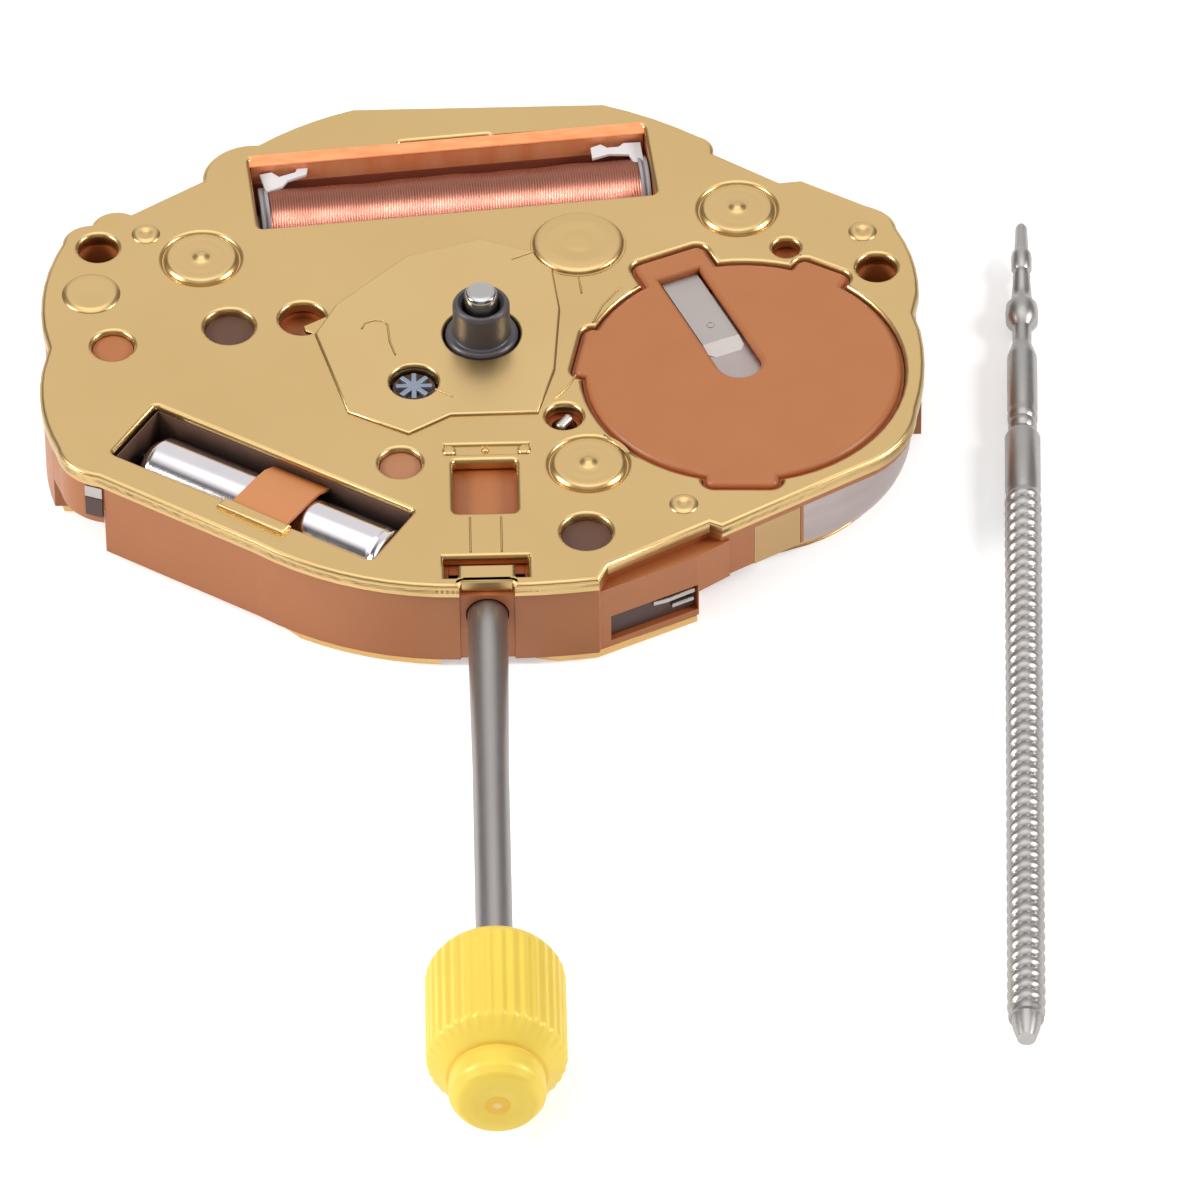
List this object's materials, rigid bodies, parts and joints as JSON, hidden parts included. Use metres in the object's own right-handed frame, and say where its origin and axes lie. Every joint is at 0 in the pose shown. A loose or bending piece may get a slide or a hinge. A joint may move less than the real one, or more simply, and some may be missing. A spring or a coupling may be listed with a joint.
{
  "type": "quartz watch movement",
  "caption": "Shaped quartz watch movement with gilt dial plate, coin cell, drive coil, crystal can, going train, keyless works, setting stem with fluted crown and a spare threaded stem.",
  "frame": {"origin": "where the hand axis meets the dial face of the plate", "axes": "+Z out of the dial face along the hand axis, -Y along the stem to the crown, +X to the coin cell"},
  "size_m": [0.0203, 0.0278, 0.0034],
  "materials": {
    "plate_gold": "satin gilt, fine grain",
    "frame_plastic": "moulded brown",
    "bridge_gold": "satin gilt",
    "wheel_brass": "polished gilt",
    "pinion_steel": "turned and hardened",
    "hour_post": "dark turned",
    "stem_steel": "turned",
    "crown_gold": "polished gilt",
    "cell_steel": "nickelled can",
    "strip_silver": "bright sprung strip",
    "winding_copper": "enamelled wire",
    "iron_soft": "annealed soft iron",
    "flange_plastic": "moulded grey",
    "tab_white": "white insulating",
    "can_silver": "drawn can",
    "strap_orange": "thin strap",
    "board_green": "lacquered board",
    "chip_black": "black resin",
    "magnet_dark": "sintered",
    "screw_steel": "slotted",
    "spacer_pale": "pale yellow",
    "peg_brown": "moulded brown"
  },
  "bodies": {
    "movement": {"dial_plate": "plate_gold", "main_frame": "frame_plastic", "back_cover": "bridge_gold", "train_bridge": "bridge_gold", "pillars": "plate_gold", "cover_screws": "screw_steel", "coin_cell": "cell_steel", "negative_contact": "strip_silver", "positive_contact": "strip_silver", "cell_clamp": "strip_silver", "cell_spacer": "spacer_pale", "side_clip": "strip_silver", "crystal_can": "can_silver", "crystal_leads": "iron_soft", "crystal_strap": "strap_orange", "circuit_board": "board_green", "circuit_chip": "chip_black", "coil_winding": "winding_copper", "coil_flanges": "flange_plastic", "coil_core": "iron_soft", "coil_tabs": "tab_white", "coil_screws": "screw_steel", "stator": "iron_soft", "yoke_post": "peg_brown", "spare_stem": "screw_steel"},
    "third": {"third_wheel": "wheel_brass", "third_pinion": "pinion_steel"},
    "intermediate": {"intermediate_wheel": "wheel_brass", "intermediate_pinion": "pinion_steel"},
    "rotor": {"rotor_magnet": "magnet_dark", "rotor_pinion": "pinion_steel"},
    "centre": {"centre_wheel": "wheel_brass", "centre_arbor": "wheel_brass", "cannon_pinion": "pinion_steel"},
    "minute": {"minute_wheel": "wheel_brass", "minute_pinion": "pinion_steel"},
    "hour": {"hour_wheel": "hour_post"},
    "setting": {"setting_wheel": "pinion_steel"},
    "pull": {"pull_piece": "peg_brown"},
    "stem": {"winding_stem": "stem_steel", "crown": "crown_gold"},
    "clutch": {"sliding_pinion": "pinion_steel"},
    "yoke_arm": {"yoke": "iron_soft"},
    "stop_arm": {"stop_lever": "iron_soft"}
  },
  "joints": [
    {"name": "third_spin", "type": "hinge", "parent": "movement", "child": "third", "pos_m": [-0.0006, 0.0017, 0], "axis": [0, 0, 1], "continuous": true},
    {"name": "intermediate_spin", "type": "hinge", "parent": "movement", "child": "intermediate", "pos_m": [0.00105, 0.00159, 0], "axis": [0, 0, 1], "continuous": true},
    {"name": "rotor_spin", "type": "hinge", "parent": "movement", "child": "rotor", "pos_m": [0.002, 0.00267, 0], "axis": [0, 0, 1], "continuous": true},
    {"name": "centre_spin", "type": "hinge", "parent": "movement", "child": "centre", "pos_m": [0, 0, 0], "axis": [0, 0, 1], "continuous": true},
    {"name": "minute_spin", "type": "hinge", "parent": "movement", "child": "minute", "pos_m": [-0.00138, -0.0014, 0], "axis": [0, 0, 1], "continuous": true},
    {"name": "hour_spin", "type": "hinge", "parent": "movement", "child": "hour", "pos_m": [0, 0, 0], "axis": [0, 0, 1], "continuous": true},
    {"name": "setting_spin", "type": "hinge", "parent": "movement", "child": "setting", "pos_m": [0, -0.00292, 0], "axis": [0, 0, 1], "continuous": true},
    {"name": "stem_pull", "type": "slide", "parent": "movement", "child": "pull", "axis": [0, -1, 0], "range_m": [0, 0.0007]},
    {"name": "stem_turn", "type": "hinge", "parent": "pull", "child": "stem", "pos_m": [0, -0.012, -0.00085], "axis": [0, -1, 0], "continuous": true},
    {"name": "clutch_slide", "type": "slide", "parent": "stem", "child": "clutch", "axis": [0, 1, 0], "range_m": [0, 0.00098]},
    {"name": "yoke_swing", "type": "hinge", "parent": "movement", "child": "yoke_arm", "pos_m": [-0.00168, -0.00372, -0.0013], "axis": [0, 0, 1], "range_deg": [0, 12.55]},
    {"name": "stop_swing", "type": "hinge", "parent": "movement", "child": "stop_arm", "pos_m": [0.00115, -0.00345, -0.0013], "axis": [0, 0, 1], "range_deg": [0, 6.3]}
  ],
  "couplings": [
    {"joint": "intermediate_spin", "follows": "third_spin", "ratio": -4.5},
    {"joint": "rotor_spin", "follows": "third_spin", "ratio": 22.5},
    {"joint": "centre_spin", "follows": "third_spin", "ratio": -0.25},
    {"joint": "minute_spin", "follows": "third_spin", "ratio": 0.083333},
    {"joint": "hour_spin", "follows": "third_spin", "ratio": -0.020833},
    {"joint": "setting_spin", "follows": "third_spin", "ratio": -0.21429},
    {"joint": "clutch_slide", "follows": "stem_pull", "ratio": 1.4},
    {"joint": "yoke_swing", "follows": "stem_pull", "rad_per_m": 312.86},
    {"joint": "stop_swing", "follows": "stem_pull", "rad_per_m": 157.14}
  ]
}
